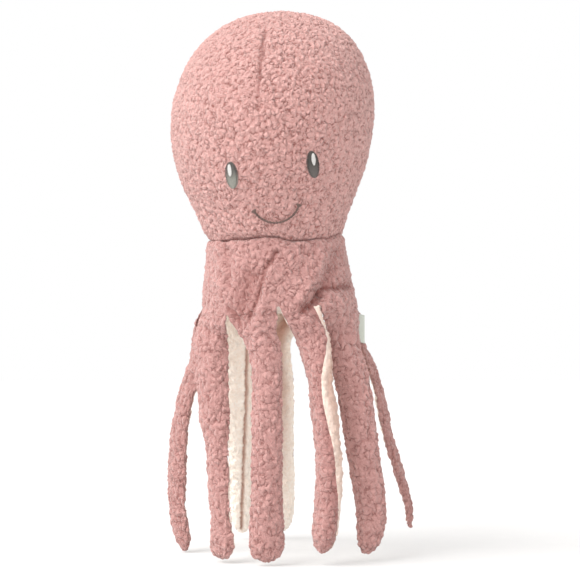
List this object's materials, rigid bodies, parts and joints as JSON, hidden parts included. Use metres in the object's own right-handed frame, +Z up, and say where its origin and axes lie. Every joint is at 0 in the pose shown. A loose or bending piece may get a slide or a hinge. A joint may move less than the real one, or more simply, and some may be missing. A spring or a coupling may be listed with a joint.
{
  "type": "plush octopus",
  "caption": "Soft stuffed octopus with a round head, stitched eyes and smile, a short skirted torso and long flat tentacles with a pale lining.",
  "frame": {"origin": "on the floor under the middle of the toy's box, with the tentacles hanging straight down and their lowest tip on the floor", "axes": "+Z up through the crown; the stitched face looks towards -Y; +X is the picture's right, the toy's left"},
  "size_m": [0.2166, 0.2048, 0.4669],
  "materials": {
    "pink_pile": "matte",
    "cream_lining": "matte",
    "stuffing": "matte",
    "dark_thread": "satin",
    "white_thread": "satin",
    "label_tape": "satin"
  },
  "bodies": {
    "torso": {"torso_front_panel": "pink_pile", "torso_back_panel": "pink_pile", "torso_filling": "stuffing", "underside_panel": "cream_lining", "side_label": "label_tape"},
    "head": {"head_front_panel": "pink_pile", "head_back_right_panel": "pink_pile", "head_back_left_panel": "pink_pile", "head_filling": "stuffing", "right_eye": "dark_thread", "right_eye_highlight": "white_thread", "left_eye": "dark_thread", "left_eye_highlight": "white_thread", "mouth": "dark_thread"},
    "tentacle_1": {"tentacle_1_outer": "pink_pile", "tentacle_1_lining": "cream_lining", "tentacle_1_filling": "stuffing"},
    "tentacle_2": {"tentacle_2_outer": "pink_pile", "tentacle_2_lining": "cream_lining", "tentacle_2_filling": "stuffing"},
    "tentacle_3": {"tentacle_3_outer": "pink_pile", "tentacle_3_lining": "cream_lining", "tentacle_3_filling": "stuffing"},
    "tentacle_4": {"tentacle_4_outer": "pink_pile", "tentacle_4_lining": "cream_lining", "tentacle_4_filling": "stuffing"},
    "tentacle_5": {"tentacle_5_outer": "pink_pile", "tentacle_5_lining": "cream_lining", "tentacle_5_filling": "stuffing"},
    "tentacle_6": {"tentacle_6_outer": "pink_pile", "tentacle_6_lining": "cream_lining", "tentacle_6_filling": "stuffing"},
    "tentacle_7": {"tentacle_7_outer": "pink_pile", "tentacle_7_lining": "cream_lining", "tentacle_7_filling": "stuffing"},
    "tentacle_8": {"tentacle_8_outer": "pink_pile", "tentacle_8_lining": "cream_lining", "tentacle_8_filling": "stuffing"}
  },
  "joints": [
    {"name": "neck_nod", "type": "hinge", "parent": "torso", "child": "head", "pos_m": [-0.01252, -0.01935, 0.27196], "axis": [1, 0, 0], "range_deg": [-12, 12], "stiffness_Nm_per_rad": 1.2},
    {"name": "tentacle_1_swing", "type": "hinge", "parent": "torso", "child": "tentacle_1", "pos_m": [-0.07185, 0.00284, 0.21046], "axis": [0.4368, 0.8995, 0], "range_deg": [-6, 85], "stiffness_Nm_per_rad": 0.1},
    {"name": "tentacle_2_swing", "type": "hinge", "parent": "torso", "child": "tentacle_2", "pos_m": [-0.07185, -0.04155, 0.21046], "axis": [-0.4368, 0.8995, 0], "range_deg": [-6, 85], "stiffness_Nm_per_rad": 0.1},
    {"name": "tentacle_3_swing", "type": "hinge", "parent": "torso", "child": "tentacle_3", "pos_m": [-0.03504, -0.07294, 0.21046], "axis": [-0.9429, 0.3331, 0], "range_deg": [-6, 85], "stiffness_Nm_per_rad": 0.1},
    {"name": "tentacle_4_swing", "type": "hinge", "parent": "torso", "child": "tentacle_4", "pos_m": [0.017, -0.07294, 0.21046], "axis": [-0.9429, -0.3331, 0], "range_deg": [-6, 85], "stiffness_Nm_per_rad": 0.1},
    {"name": "tentacle_5_swing", "type": "hinge", "parent": "torso", "child": "tentacle_5", "pos_m": [0.0538, -0.04155, 0.21046], "axis": [-0.4368, -0.8995, 0], "range_deg": [-6, 85], "stiffness_Nm_per_rad": 0.1},
    {"name": "tentacle_6_swing", "type": "hinge", "parent": "torso", "child": "tentacle_6", "pos_m": [0.05102, 0.00788, 0.21046], "axis": [0.529, -0.8486, 0], "range_deg": [-6, 85], "stiffness_Nm_per_rad": 0.1},
    {"name": "tentacle_7_swing", "type": "hinge", "parent": "torso", "child": "tentacle_7", "pos_m": [-0.04095, 0.03186, 0.21046], "axis": [0.9107, 0.413, 0], "range_deg": [-6, 85], "stiffness_Nm_per_rad": 0.1},
    {"name": "tentacle_8_swing", "type": "hinge", "parent": "torso", "child": "tentacle_8", "pos_m": [-0.00015, 0.03815, 0.21046], "axis": [0.9938, -0.1116, 0], "range_deg": [-6, 85], "stiffness_Nm_per_rad": 0.1}
  ]
}
